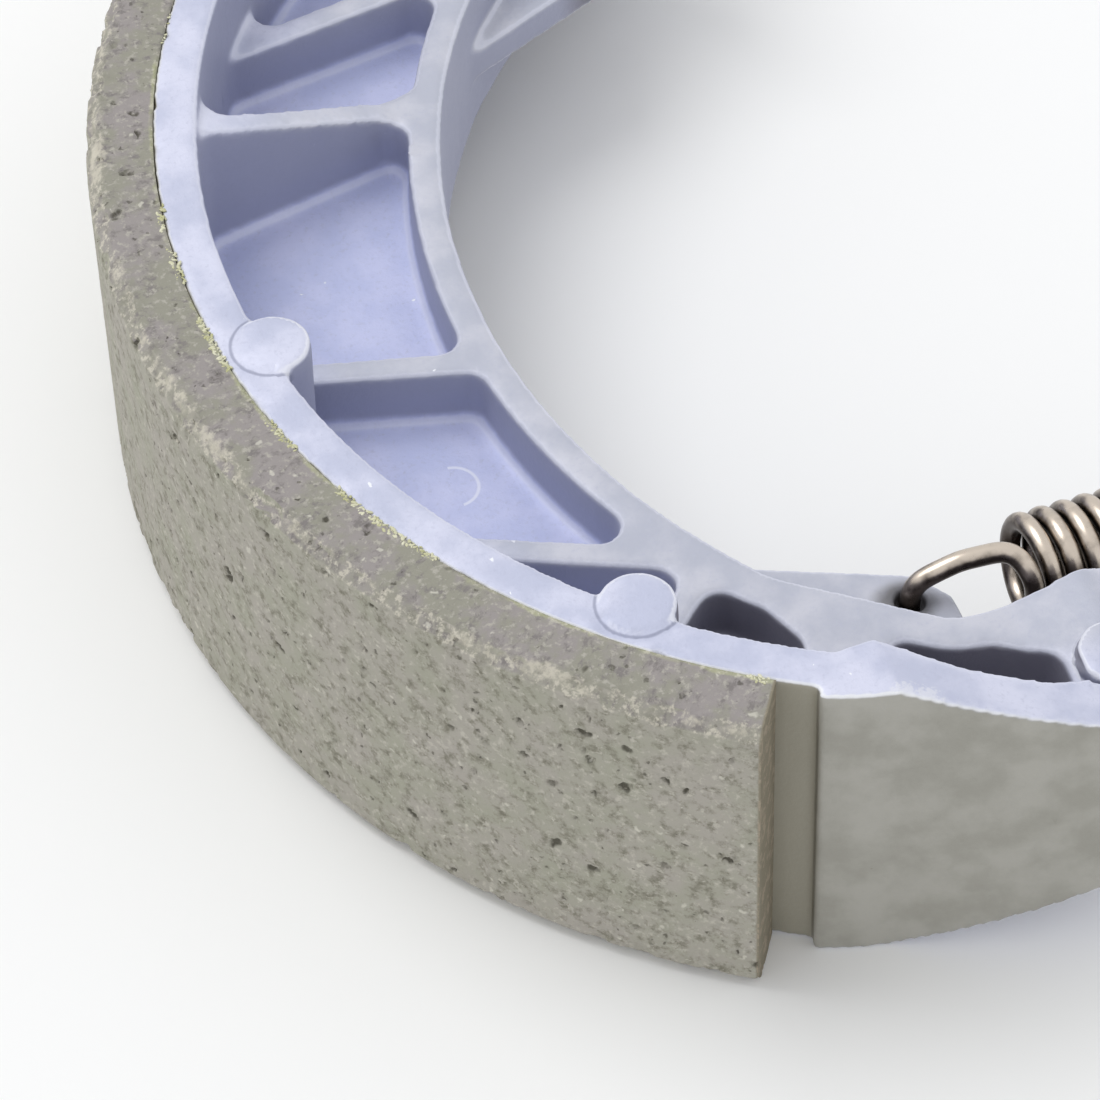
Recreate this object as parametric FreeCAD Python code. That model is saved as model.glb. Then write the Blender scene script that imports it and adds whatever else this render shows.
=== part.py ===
import FreeCAD, Part
import math
import os

os.makedirs("parts", exist_ok=True)

# Leading-trailing drum brake shoe with its bonded lining and the return spring hooked in its cam end.
# Millimetres and degrees. The origin is on the drum's axis, in the plane of the shoe's lower face.
# The middle of the shoe points to -X. Angles round the shoe are counted from there towards
# the cam end, which is on -Y. The anchor end is on +Y.

V = FreeCAD.Vector
UP = V(0, 0, 1)

# Drum and lining
drum_radius = 65.0
shoe_width = 30.0
lining_thickness = 5.2
lining_half_angle = 58.0
lining_edge_chamfer = 1.1

# Rim, the curved table that carries the lining
rim_thickness = 3.4
lip_angle = 61.0
lip_height = 1.0
lip_run_angle = 5.5
lip_bulge = 0.12

# Web and ribs in the middle of the width
web_thickness = 3.6
rib_height = 14.0
rib_thickness = 2.2
rib_overrun = 9.0
flange_thickness = 2.6
end_flange_thickness = 3.1
end_flange_angles = (47.2, -50.0)

# Ribs: angle at the rim and angle at the flange, the tall one slopes down from the rim's level
rib_rim_depth = 0.4
rib_flange_depth = 10.4
plain_ribs = ((3.5, 7.7), (23.9, 40.9), (46.7, 47.2), (-33.4, -46.1))
tall_rib = (-17.5, -24.7)
tall_rib_drop = 1.0
tall_rib_run = 16.0

# Solid lands at both ends of the pockets
cam_land_angles = (59.5, 65.0)
cam_land_foot_x = -26.1
cam_land_foot_depth = 14.4
cam_land_inner_x = -29.8
cam_land_inner_depth = 23.2
cam_swell_steps = ((1.6, 59.4), (-1.5, 64.0), (-0.7, 71.0), (0.0, 84.0), (1.6, 84.0), (2.2, 72.0))
cam_gusset_length = 6.4
cam_gusset_inner_depth = 11.2
cam_gusset_outer_depth = 6.8
anchor_land_angles = (-58.5, -65.0)
land_inner_depth = 16.4

# Inner contour of the casting. Depths here and above are measured inwards from the rim's inner face
contour_radius = 54.5
contour_crown_depth = 18.8
contour_centre_y = -1.9
contour_end_x = -26.2
end_inner_depth = 13.2
end_knee_x = -14.8
end_knee_step = 0.7
knee_round = 5.0
shoulder_round = 6.0

# Tapered ends
taper_start_x = -23.8
taper_slope = 0.36
cam_face_x = -2.6
anchor_face_x = -1.2
cam_block_length = 6.9
cam_block_height = 16.6
cam_ramp_start = 8.6
cam_ramp_end = 2.9
anchor_pin_radius = 6.0
anchor_pin_depth = 5.1
anchor_seat_wall = 3.6

# Ejector bosses and the pad on the cam end
boss_radius = 2.9
boss_centre_depth = 0.4
boss_angles = (8.1, 46.7)
end_pad_x = -5.9
end_pad_depth = 4.5
end_pad_height = 0.5

# Pockets
pocket_corner_round = 1.6
pocket_floor_round = 1.0

# Lugs for the return springs
lug_thickness = 3.2
lug_reach = 8.6
lug_tip_x = -14.5
lug_side_x = -12.5
lug_side_drop = 2.8
lug_root_x = -31.5
lug_root_depth = 29.1
lug_corner_round = 1.4
spring_hole_x = -15.7
spring_hole_inset = 6.3
spring_hole_radius = 1.15

# Return spring
wire_radius = 0.8
coil_mean_radius = 3.5
coil_pitch = 1.76
coil_turns = 7.5
coil_axis_step = 1.0
hook_bend_radius = 2.0
hook_arch_height = 4.4
hook_tip_depth = 4.1

# Sizes that follow
mid_z = shoe_width / 2
seat_radius = drum_radius - lining_thickness
rim_inner_radius = seat_radius - rim_thickness
rib_rim_radius = rim_inner_radius - rib_rim_depth
rib_flange_radius = rim_inner_radius - rib_flange_depth
boss_centre_radius = rim_inner_radius - boss_centre_depth
land_inner_radius = rim_inner_radius - land_inner_depth
contour_centre_x = contour_radius - (rim_inner_radius - contour_crown_depth)
cam_land_foot_y = cam_land_foot_depth - rim_inner_radius
cam_land_inner_y = cam_land_inner_depth - rim_inner_radius
cam_gusset_inner_y = cam_gusset_inner_depth - rim_inner_radius
cam_gusset_outer_y = cam_gusset_outer_depth - rim_inner_radius
end_inner_y = rim_inner_radius - end_inner_depth
end_knee_y = end_inner_y + end_knee_step
end_pad_y = end_pad_depth - rim_inner_radius
anchor_pin_y = rim_inner_radius - anchor_pin_depth
lug_edge_y = end_inner_y - lug_reach
lug_root_y = rim_inner_radius - lug_root_depth
spring_hole_y = end_inner_y - spring_hole_inset
coil_axis_y = coil_axis_step - spring_hole_y
web_top_z = mid_z + web_thickness / 2
rib_top_z = mid_z + rib_height / 2
rib_low_z = mid_z - rib_height / 2
cam_block_x = cam_face_x - cam_block_length
anchor_block_x = -anchor_pin_radius - anchor_seat_wall
far = 3 * drum_radius


def polar(radius, angle):
    turn = math.radians(180 + angle)
    return V(radius * math.cos(turn), radius * math.sin(turn), 0)


def polygon(points):
    return Part.Face(Part.makePolygon(list(points) + [points[0]]))


def disc(centre, radius):
    return Part.Face(Part.Wire(Part.makeCircle(radius, centre, UP)))


def raise_face(face, low, high):
    lifted = face.copy()
    lifted.translate(V(0, 0, low))
    return lifted.extrude(V(0, 0, high - low))


def about_middle(solid):
    return solid.mirror(V(0, 0, mid_z), UP)


def to_anchor_end(point):
    return V(point.x, -point.y, point.z)


# Vertical edges of a prism where its two walls meet at an angle
def sharp_uprights(solid):
    found = []
    for edge in solid.Edges:
        first, last = edge.Vertexes[0].Point, edge.Vertexes[-1].Point
        if math.hypot(first.x - last.x, first.y - last.y) > 0.001 or len(edge.Vertexes) < 2:
            continue
        walls = solid.ancestorsOfType(edge, Part.Face)
        normals = []
        for wall in walls:
            u, v = wall.Surface.parameter((first + last) / 2)
            normals.append(wall.normalAt(u, v))
        if normals[0].getAngle(normals[1]) > math.radians(8):
            found.append(edge)
    return found


def upright_near(solid, point):
    edges = sharp_uprights(solid)
    return min(edges, key=lambda edge: math.hypot(edge.Vertexes[0].X - point.x, edge.Vertexes[0].Y - point.y))


# The open space inside the shoe: one large arc, then a straight run and a knee at each end
def inner_space():
    centre = V(contour_centre_x, contour_centre_y, 0)
    reach = math.sqrt(contour_radius ** 2 - (contour_end_x - contour_centre_x) ** 2)
    cam_shoulder = V(contour_end_x, contour_centre_y - reach, 0)
    anchor_shoulder = V(contour_end_x, contour_centre_y + reach, 0)
    crown = centre - V(contour_radius, 0, 0)
    cam_knee = V(end_knee_x, -end_knee_y, 0)
    cam_end = V(far, -end_inner_y, 0)
    arc = Part.Arc(anchor_shoulder, crown, cam_shoulder).toShape()
    corners = [cam_shoulder, cam_knee, V(anchor_face_x, -end_inner_y, 0), cam_end]
    corners += [to_anchor_end(point) for point in reversed(corners[1:])] + [anchor_shoulder]
    runs = [Part.LineSegment(a, b).toShape() for a, b in zip(corners, corners[1:])]
    space = Part.Face(Part.Wire([arc] + runs)).extrude(UP)
    for corner, radius in ((cam_shoulder, shoulder_round), (anchor_shoulder, shoulder_round),
                           (cam_knee, knee_round), (to_anchor_end(cam_knee), knee_round)):
        space = space.makeFillet(radius, [upright_near(space, corner)])
    return min(space.Faces, key=lambda face: face.CenterOfMass.z)


def inside_rim():
    return disc(V(0, 0, 0), rim_inner_radius)


# The rim and all inside it, up to the middle of the rim's thickness
def up_to_rim():
    return disc(V(0, 0, 0), seat_radius - rim_thickness / 2)


# The flange in plan: a band along the inner contour, thicker from the last rib on at both ends
def flange_plan(space):
    ends = []
    for angle in end_flange_angles:
        turn = math.copysign(45, angle)
        sector = polygon([V(0, 0, 0)] + [polar(far, angle + turn * step) for step in (0, 1, 2)])
        ends.append(space.makeOffset2D(end_flange_thickness).common(sector))
    return [space.makeOffset2D(flange_thickness)] + ends


# All that lies beyond a line across one end, in plan
def end_plan(start_x, side):
    return polygon([V(start_x, 0, 0), V(far, 0, 0), V(far, side * far, 0), V(start_x, side * far, 0)])


def rib_line(angles):
    return polar(rib_rim_radius, angles[0]), polar(rib_flange_radius, angles[1])


# A rib in plan: it runs on past both ends, into the rim and the flange
def rib(angles):
    start, end = rib_line(angles)
    along = (end - start).normalize()
    side = UP.cross(along) * (rib_thickness / 2)
    first = start - along * rib_overrun
    last = end + along * rib_overrun
    return polygon([first + side, last + side, last - side, first - side])


# Where the rim grows thicker inwards beside the solid land at the cam end, in plan
def rim_swell():
    return polygon([polar(rim_inner_radius + step, angle) for step, angle in cam_swell_steps])


# Ribs and solid lands in plan, between the inner flange and the rim
def rib_faces():
    reach = rim_inner_radius + 1
    faces = [rib(angles) for angles in plain_ribs + (tall_rib,)]
    foot = V(cam_land_foot_x, cam_land_foot_y, 0)
    cam_land = [V(cam_land_inner_x, cam_land_inner_y, 0), foot, polar(reach, cam_land_angles[0])]
    cam_land += [polar(reach, cam_land_angles[1]), polar(land_inner_radius, cam_land_angles[1])]
    gusset = [V(cam_block_x, cam_gusset_outer_y, 0), V(cam_block_x, cam_gusset_inner_y, 0)]
    gusset.append(V(cam_block_x - cam_gusset_length, cam_gusset_inner_y, 0))
    first, last = anchor_land_angles
    anchor_land = [polar(land_inner_radius, first), polar(reach, first)]
    anchor_land += [polar(reach, last), polar(land_inner_radius, last)]
    faces += [polygon(cam_land), polygon(gusset), rim_swell(), polygon(anchor_land)]
    return faces + [end_plan(cam_block_x, -1), end_plan(anchor_block_x, 1)]


# Extra height of the tall rib: a wide wedge that the pockets beside it trim to the rib's own width
def tall_rib_wedge(space):
    start, end = rib_line(tall_rib)
    along = (end - start).normalize()
    side = UP.cross(along) * (2 * pocket_corner_round + rib_thickness)
    far_start = start - along * rib_overrun
    foot = start + along * tall_rib_run
    top_z = shoe_width - tall_rib_drop
    outline = [far_start + V(0, 0, mid_z), far_start + V(0, 0, top_z), start + V(0, 0, top_z)]
    outline += [foot + V(0, 0, rib_top_z), foot + V(0, 0, mid_z)]
    upper = polygon([point - side for point in outline]).extrude(side * 2)
    upper = upper.common(raise_face(up_to_rim().cut(space), 0, shoe_width))
    return upper.fuse(about_middle(upper))


# One pocket as the shape that is taken out of the casting. Its outline is moved in and out again by the
# corner radius, which rounds its corners and drops slits too narrow for the die. The floor's edge is rounded too
def pocket_tools(face):
    tools = []
    for outline in face.makeOffset2D(-pocket_corner_round).makeOffset2D(pocket_corner_round).Faces:
        tool = raise_face(outline, web_top_z, shoe_width + 1)
        floor = min(tool.Faces, key=lambda side: side.CenterOfMass.z)
        tools.append(tool.makeFillet(pocket_floor_round, floor.Edges))
    return tools


def pockets(space):
    plan = inside_rim()
    for face in flange_plan(space) + rib_faces():
        plan = plan.cut(face)
    tools = [tool for face in plan.Faces for tool in pocket_tools(face)]
    return tools + [about_middle(tool) for tool in tools]


def rim_blank():
    ring = disc(V(0, 0, 0), seat_radius).cut(disc(V(0, 0, 0), rim_inner_radius))
    return raise_face(ring, 0, shoe_width)


# Low ramp behind each end of the lining, which locates it
def lip(side):
    crest = seat_radius + lip_height
    root = seat_radius - rim_thickness / 2
    top = polar(crest, side * lip_angle)
    half = polar(seat_radius + (0.5 + lip_bulge) * lip_height, side * (lip_angle + lip_run_angle / 2))
    tail = polar(seat_radius, side * (lip_angle + lip_run_angle))
    low_tail = polar(root, side * (lip_angle + lip_run_angle))
    low_head = polar(root, side * lip_angle)
    outline = [Part.Arc(top, half, tail).toShape()]
    outline += [Part.LineSegment(a, b).toShape() for a, b in ((tail, low_tail), (low_tail, low_head), (low_head, top))]
    return raise_face(Part.Face(Part.Wire(outline)), 0, shoe_width)


# Thick end that the cam lifts: it rises over a ramp from the flange's level
def cam_block(space):
    top_z = mid_z + cam_block_height / 2
    foot_x = cam_face_x - cam_ramp_start
    outline = [V(foot_x, 0, mid_z), V(foot_x, 0, rib_top_z), V(cam_face_x - cam_ramp_end, 0, top_z)]
    outline += [V(far, 0, top_z), V(far, 0, mid_z)]
    upper = polygon(outline).extrude(V(0, -far, 0))
    upper = upper.common(raise_face(up_to_rim().cut(space), 0, shoe_width))
    return upper.fuse(about_middle(upper))


# Wedge that thins both ends towards the middle of the width, down to the ribs' level
def taper_wedge():
    flat_x = taper_start_x + (shoe_width - rib_top_z) / taper_slope
    outline = [V(taper_start_x, 0, shoe_width), V(flat_x, 0, rib_top_z), V(far, 0, rib_top_z)]
    outline += [V(far, 0, shoe_width + far), V(taper_start_x, 0, shoe_width + far)]
    face = polygon(outline)
    face.translate(V(0, -far, 0))
    return face.extrude(V(0, 2 * far, 0))


# A lug's plate reaches from its free edge to the middle of the flange's thickness
def lug(space, side):
    points = [V(lug_root_x, lug_root_y, 0), V(lug_tip_x, lug_edge_y, 0)]
    points += [V(lug_side_x, lug_edge_y + lug_side_drop, 0), V(lug_side_x, far, 0), V(lug_root_x, far, 0)]
    points = [V(point.x, side * point.y, 0) for point in points]
    plan = polygon(points).common(space.makeOffset2D(flange_thickness / 2)).Faces[0]
    plate = raise_face(plan, mid_z - lug_thickness / 2, mid_z + lug_thickness / 2)
    rounded = [upright_near(plate, points[1]), upright_near(plate, points[2])]
    plate = plate.makeFillet(lug_corner_round, rounded)
    hole = Part.makeCylinder(spring_hole_radius, shoe_width, V(spring_hole_x, side * spring_hole_y, 0))
    return plate, hole


def bosses():
    made = []
    for angle in boss_angles:
        foot = polar(boss_centre_radius, angle)
        foot.z = mid_z
        made.append(Part.makeCylinder(boss_radius, shoe_width - mid_z, foot))
    pad_top = mid_z + cam_block_height / 2 + end_pad_height
    made.append(Part.makeCylinder(boss_radius, pad_top - mid_z, V(end_pad_x, end_pad_y, mid_z)))
    return made


# Everything on the drum side of the end faces is cut off
def end_trims(height):
    cam = Part.makeBox(far, far, height, V(cam_face_x, -far, -height / 3))
    anchor = Part.makeBox(far, far, height, V(anchor_face_x, 0, -height / 3))
    return [cam, anchor]


def shoe_casting():
    space = inner_space()
    body = raise_face(inside_rim().cut(space), rib_low_z, rib_top_z)
    swell = raise_face(rim_swell(), 0, shoe_width)
    body = body.fuse([rim_blank(), swell, cam_block(space), tall_rib_wedge(space), lip(1), lip(-1)])
    body = body.cut(pockets(space))
    wedge = taper_wedge()
    body = body.cut([wedge, about_middle(wedge)])
    body = body.fuse(bosses())
    cam_lug, cam_hole = lug(space, -1)
    anchor_lug, anchor_hole = lug(space, 1)
    body = body.fuse([cam_lug, anchor_lug])
    seat = Part.makeCylinder(anchor_pin_radius, 3 * shoe_width, V(0, anchor_pin_y, -shoe_width))
    body = body.cut([cam_hole, anchor_hole, seat] + end_trims(3 * shoe_width))
    return body.removeSplitter().Solids[0]


def friction_lining():
    cut = lining_edge_chamfer
    low, high = V(seat_radius, 0, 0), V(seat_radius, 0, shoe_width)
    outline = [low, V(drum_radius - cut, 0, 0), V(drum_radius, 0, cut)]
    outline += [V(drum_radius, 0, shoe_width - cut), V(drum_radius - cut, 0, shoe_width), high]
    section = polygon(outline)
    section.rotate(V(0, 0, 0), UP, 180 - lining_half_angle)
    return section.revolve(V(0, 0, 0), UP, 2 * lining_half_angle)


# Edges of a path with each inner corner bent to a tangent arc
def bent_path(points, radius):
    edges = []
    start = points[0]
    for before, corner, after in zip(points, points[1:], points[2:]):
        back = (before - corner).normalize()
        ahead = (after - corner).normalize()
        half_turn = (math.pi - back.getAngle(ahead)) / 2
        shorter = min((before - corner).Length, (after - corner).Length)
        setback = min(radius * math.tan(half_turn), 0.48 * shorter)
        bend = setback / math.tan(half_turn)
        inward = (back + ahead).normalize()
        middle = corner + inward * (bend / math.cos(half_turn) - bend)
        arc_start = corner + back * setback
        arc_end = corner + ahead * setback
        edges.append(Part.LineSegment(start, arc_start).toShape())
        edges.append(Part.Arc(arc_start, middle, arc_end).toShape())
        start = arc_end
    edges.append(Part.LineSegment(start, points[-1]).toShape())
    return edges


# Hook at the cam end of this shoe, from its free tip to where the coil begins on its outer side
def hook_points(coil_start_x):
    hole = V(spring_hole_x, -spring_hole_y, mid_z)
    coil = V(coil_start_x, coil_axis_y - coil_mean_radius, mid_z)
    span = coil - hole
    points = [hole + V(0.7 * span.x, 0, -0.7 * hook_tip_depth)]
    points.append(hole + V(0.38 * span.x, 0, -hook_tip_depth))
    points.append(hole + V(0, 0, -0.65 * hook_tip_depth))
    points.append(hole + V(0, 0, 0.75 * hook_arch_height))
    points.append(hole + V(0.42 * span.x, 0, hook_arch_height))
    points.append(hole + V(0.88 * span.x, 0.1 * span.y, hook_arch_height))
    rise = 0.9 * coil_mean_radius
    lean = coil_pitch / (2 * math.pi * coil_mean_radius)
    points.append(coil + V(-lean * rise, 0, rise))
    points.append(coil)
    return points


# Middle line of the wire: hook, open coil and the same hook turned half round the spring's middle
def spring_path():
    length = coil_turns * coil_pitch
    start_x = -length / 2
    hook = bent_path(hook_points(start_x), hook_bend_radius)
    coil = Part.makeHelix(coil_pitch, length, coil_mean_radius)
    coil.rotate(V(0, 0, 0), V(0, 1, 0), 90)
    coil.rotate(V(0, 0, 0), V(1, 0, 0), -90)
    coil.translate(V(start_x, coil_axis_y, mid_z))
    far_hook = []
    for edge in hook:
        turned = edge.copy()
        turned.rotate(V(0, coil_axis_y, mid_z), UP, 180)
        far_hook.append(turned)
    return hook, coil.Edges, far_hook


def return_spring():
    hook, coil, far_hook = spring_path()
    path = Part.Wire(Part.__sortEdges__(hook + coil + far_hook))
    tip = hook[0].Vertexes[0].Point
    heading = hook[0].Vertexes[-1].Point - tip
    section = Part.Wire(Part.makeCircle(wire_radius, tip, heading))
    wire = path.makePipeShell([section], True, False)
    print("spring wire length", path.Length, "volume ratio", wire.Volume / (path.Length * math.pi * wire_radius ** 2))
    return wire


pieces = {
    "shoe_casting": shoe_casting(),
    "friction_lining": friction_lining(),
    "return_spring": return_spring(),
}
for name, shape in pieces.items():
    print(name, shape.ShapeType, "solids", len(shape.Solids), "valid", shape.isValid(), "volume", round(shape.Volume, 1))
    shape.exportStep("parts/" + name + ".step")
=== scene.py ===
# %% [markdown]
# # Drum brake shoe
# The object is one shoe of a drum brake: a ribbed die casting, a friction lining bonded round its rim,
# and the wire return spring that hangs in its lug.
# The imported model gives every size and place, and this notebook only adds the surfaces of the real pieces.
# It could start from scratch instead, but then nothing would promise that the looks and the solids agree.

import math
import bpy
import bmesh
import numpy as np
from mathutils import Matrix, Vector, noise


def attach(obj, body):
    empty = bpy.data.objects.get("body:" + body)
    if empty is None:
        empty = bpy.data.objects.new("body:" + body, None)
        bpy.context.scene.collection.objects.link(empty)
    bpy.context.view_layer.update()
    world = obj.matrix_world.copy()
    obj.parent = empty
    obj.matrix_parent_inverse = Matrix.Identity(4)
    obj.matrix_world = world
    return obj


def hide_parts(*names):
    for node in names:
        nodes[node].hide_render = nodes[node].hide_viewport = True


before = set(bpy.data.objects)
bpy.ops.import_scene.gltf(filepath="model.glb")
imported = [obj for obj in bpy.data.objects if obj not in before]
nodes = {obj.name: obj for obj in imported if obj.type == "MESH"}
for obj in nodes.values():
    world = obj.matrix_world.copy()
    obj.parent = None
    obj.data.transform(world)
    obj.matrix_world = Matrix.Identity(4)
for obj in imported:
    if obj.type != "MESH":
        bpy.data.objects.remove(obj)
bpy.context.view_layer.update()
millimetre = 0.001
print("nodes", sorted(nodes))

# %% [markdown]
# ## Main sizes
# A few sizes of the solids, in millimetres, say where one finish ends and the next begins.
# They could be read off the meshes, but a shoe is known by these numbers.

# %% Main sizes
drum_radius = 65.0
lining_thickness = 5.2
seat_radius = drum_radius - lining_thickness
shoe_width = 30.0
middle_height = shoe_width / 2
print("lining from radius", seat_radius, "to", drum_radius, "and", shoe_width, "wide")

# %% [markdown]
# ## Camera
# The photograph was taken with a long lens from the front left, looking down at 50 degrees.
# A camera can be aimed with a constraint, but a fixed matrix of its three axes also keeps the small roll.

# %% Camera
camera_data = bpy.data.cameras.new("shoe_camera")
camera_data.sensor_fit = "HORIZONTAL"
camera_data.sensor_width = 36.0
camera_data.lens = 177.74
camera_data.clip_start = 0.01
camera = bpy.data.objects.new("shoe_camera", camera_data)
ahead = Vector((0.1958, 0.6149, -0.7639))
right = Vector((0.9529, -0.3034, 0.0))
up = right.cross(ahead)
roll = -0.0349
camera_place = (-0.1189, -0.2734, 0.3275)
camera_x = right * math.cos(roll) + up * math.sin(roll)
camera_y = up * math.cos(roll) - right * math.sin(roll)
turn = Matrix((camera_x, camera_y, -ahead)).transposed().to_4x4()
camera.matrix_world = Matrix.Translation(camera_place) @ turn
bpy.context.scene.collection.objects.link(camera)
bpy.context.scene.camera = camera
print("camera at", [round(value, 3) for value in camera.matrix_world.translation])

# %% [markdown]
# ## Helpers for node trees
# Materials and Geometry Nodes are both trees of nodes, and most of their nodes are sums.
# Short helpers add a node, a sum or a mask, so that the cells below read like formulas.
# Colours are written as the 0 to 255 values of a screen, and the renderer wants them linear.

# %% Helpers for node trees
def add_node(tree, kind, **settings):
    node = tree.nodes.new(kind)
    for key, value in settings.items():
        setattr(node, key, value)
    return node


def feed(tree, socket, value):
    if isinstance(value, bpy.types.NodeSocket):
        tree.links.new(value, socket)
    else:
        socket.default_value = value


def calc(tree, operation, *values, clamp=False):
    node = add_node(tree, "ShaderNodeMath", operation=operation, use_clamp=clamp)
    for socket, value in zip(node.inputs, values):
        feed(tree, socket, value)
    return node.outputs[0]


def both(tree, first, second):
    return calc(tree, "MULTIPLY", first, second)


def negative(tree, value):
    return calc(tree, "MULTIPLY", value, -1.0)


def off_by(tree, value, centre):
    return calc(tree, "ABSOLUTE", calc(tree, "SUBTRACT", value, centre))


def hypotenuse(tree, first, second):
    return calc(tree, "SQRT", calc(tree, "ADD", both(tree, first, first), both(tree, second, second)))


def ramp_up(tree, value, low, high):
    node = add_node(tree, "ShaderNodeMapRange", interpolation_type="SMOOTHSTEP")
    feed(tree, node.inputs["Value"], value)
    node.inputs["From Min"].default_value = low
    node.inputs["From Max"].default_value = high
    return node.outputs["Result"]


def fade_out(tree, value, low, high):
    return calc(tree, "SUBTRACT", 1.0, ramp_up(tree, value, low, high), clamp=True)


def screen_colour(red, green, blue):
    linear = []
    for value in (red, green, blue):
        share = value / 255
        linear.append(share / 12.92 if share <= 0.04045 else ((share + 0.055) / 1.055) ** 2.4)
    return (*linear, 1.0)


print("mid grey is", round(screen_colour(128, 128, 128)[0], 3), "in linear light")

# %% [markdown]
# ## Helpers for patterns
# Noise gives mottling, Voronoi cells give pits and specks, and a mix lays one colour over another.
# All patterns read Object coordinates in millimetres, so a scale says how many repeats a millimetre has.

# %% Helpers for patterns
def mottle(tree, vector, scale, detail=3.0, rough=0.55):
    node = add_node(tree, "ShaderNodeTexNoise")
    feed(tree, node.inputs["Vector"], vector)
    node.inputs["Scale"].default_value = scale
    node.inputs["Detail"].default_value = detail
    node.inputs["Roughness"].default_value = rough
    return node.outputs[0]


def cells(tree, vector, scale):
    node = add_node(tree, "ShaderNodeTexVoronoi", feature="F1")
    feed(tree, node.inputs["Vector"], vector)
    node.inputs["Scale"].default_value = scale
    picked = add_node(tree, "ShaderNodeSeparateXYZ")
    tree.links.new(node.outputs["Color"], picked.inputs[0])
    return node.outputs["Distance"], picked.outputs["X"], picked.outputs["Y"]


def warped(tree, vector, scale, reach):
    waves = add_node(tree, "ShaderNodeTexNoise")
    feed(tree, waves.inputs["Vector"], vector)
    waves.inputs["Scale"].default_value = scale
    shift = add_node(tree, "ShaderNodeVectorMath", operation="MULTIPLY_ADD")
    tree.links.new(waves.outputs["Color"], shift.inputs[0])
    shift.inputs[1].default_value = (reach, reach, reach)
    feed(tree, shift.inputs[2], vector)
    return shift.outputs[0]


def specks(tree, vector, scale, share, size):
    bent = warped(tree, vector, 1.6 * scale, 0.9 / scale)
    distance, chance, width = cells(tree, bent, scale)
    reach = calc(tree, "MULTIPLY_ADD", width, size * 0.7, size * 0.3)
    inside = calc(tree, "SUBTRACT", 1.0, calc(tree, "DIVIDE", distance, reach), clamp=True)
    soft = calc(tree, "MULTIPLY", inside, 2.2, clamp=True)
    return both(tree, soft, calc(tree, "LESS_THAN", chance, share))


def blend_colour(tree, amount, under, over):
    node = add_node(tree, "ShaderNodeMix", data_type="RGBA")
    feed(tree, node.inputs["Factor"], amount)
    feed(tree, node.inputs["A"], under)
    feed(tree, node.inputs["B"], over)
    return next(socket for socket in node.outputs if socket.type == "RGBA")


def two_tones(tree, amount, first, second):
    return blend_colour(tree, amount, screen_colour(*first), screen_colour(*second))


def paint(tree, under, amount, tone, strength=None):
    amount = amount if strength is None else both(tree, amount, strength)
    return blend_colour(tree, amount, under, screen_colour(*tone))


# %% [markdown]
# ## Places on the shoe
# The shoe is part of a ring, so its finishes change with the radius and with the angle round the drum's axis.
# This helper turns Object coordinates into millimetres, radius, arc length and height.

# %% Places on the shoe
def shoe_places(tree):
    coordinates = add_node(tree, "ShaderNodeTexCoord")
    scaled = add_node(tree, "ShaderNodeMapping")
    scaled.inputs["Scale"].default_value = (1 / millimetre,) * 3
    tree.links.new(coordinates.outputs["Object"], scaled.inputs["Vector"])
    split = add_node(tree, "ShaderNodeSeparateXYZ")
    tree.links.new(scaled.outputs[0], split.inputs[0])
    x, y, z = split.outputs
    radius = hypotenuse(tree, x, y)
    angle = calc(tree, "ARCTAN2", negative(tree, y), negative(tree, x))
    around = add_node(tree, "ShaderNodeCombineXYZ")
    tree.links.new(calc(tree, "MULTIPLY", angle, drum_radius), around.inputs[0])
    tree.links.new(z, around.inputs[1])
    tree.links.new(radius, around.inputs[2])
    degrees = calc(tree, "ABSOLUTE", calc(tree, "MULTIPLY", angle, 180 / math.pi))
    facing = add_node(tree, "ShaderNodeSeparateXYZ")
    tree.links.new(add_node(tree, "ShaderNodeNewGeometry").outputs["Normal"], facing.inputs[0])
    return {
        "mm": scaled.outputs[0], "x": x, "y": y, "z": z, "radius": radius, "degrees": degrees,
        "around": around.outputs[0], "facing_up": facing.outputs["Z"],
    }


def distance_from(tree, at, x, y):
    return hypotenuse(tree, calc(tree, "SUBTRACT", at["x"], x), calc(tree, "SUBTRACT", at["y"], y))


def new_finish(name):
    material = bpy.data.materials.new(name)
    material.use_nodes = True
    tree = material.node_tree
    return material, tree, tree.nodes["Principled BSDF"]


def bump(tree, shader, height, strength, distance):
    node = add_node(tree, "ShaderNodeBump")
    feed(tree, node.inputs["Height"], height)
    node.inputs["Strength"].default_value = strength
    node.inputs["Distance"].default_value = distance
    tree.links.new(node.outputs[0], shader.inputs["Normal"])


# %% [markdown]
# ## Floor
# The shoe lies on white paper. A large plain sheet of mesh is enough, because no edge of it is seen.
# Its colour makes the background pale, and it keeps the soft shadow of the object.

# %% Floor
half_floor = 2.0
floor_level = -0.1 * millimetre
floor_mesh = bpy.data.meshes.new("paper_floor")
floor_corners = [(-half_floor, -half_floor), (half_floor, -half_floor)]
floor_corners += [(half_floor, half_floor), (-half_floor, half_floor)]
floor_mesh.from_pydata([(*corner, floor_level) for corner in floor_corners], [], [(0, 1, 2, 3)])
floor = bpy.data.objects.new("paper_floor", floor_mesh)
bpy.context.scene.collection.objects.link(floor)
paper, _, paper_shader = new_finish("white_paper")
paper_shader.inputs["Base Color"].default_value = screen_colour(247, 247, 246)
paper_shader.inputs["Roughness"].default_value = 0.9
paper_shader.inputs["Specular IOR Level"].default_value = 0.1
floor_mesh.materials.append(paper)
print("floor", floor.dimensions[:])

# %% [markdown]
# ## Light
# The photograph has the even light of a white tent: soft shadows on the paper, dark only down in the pockets.
# A pale world gives that, and one large lamp high on the left gives the shadow inside the arc its side.
# What the camera and the steel see of the world is plain white, whatever strength lights the surfaces.
# The plain Standard view keeps every colour as it is written, where a film-like curve would bleach it.

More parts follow.
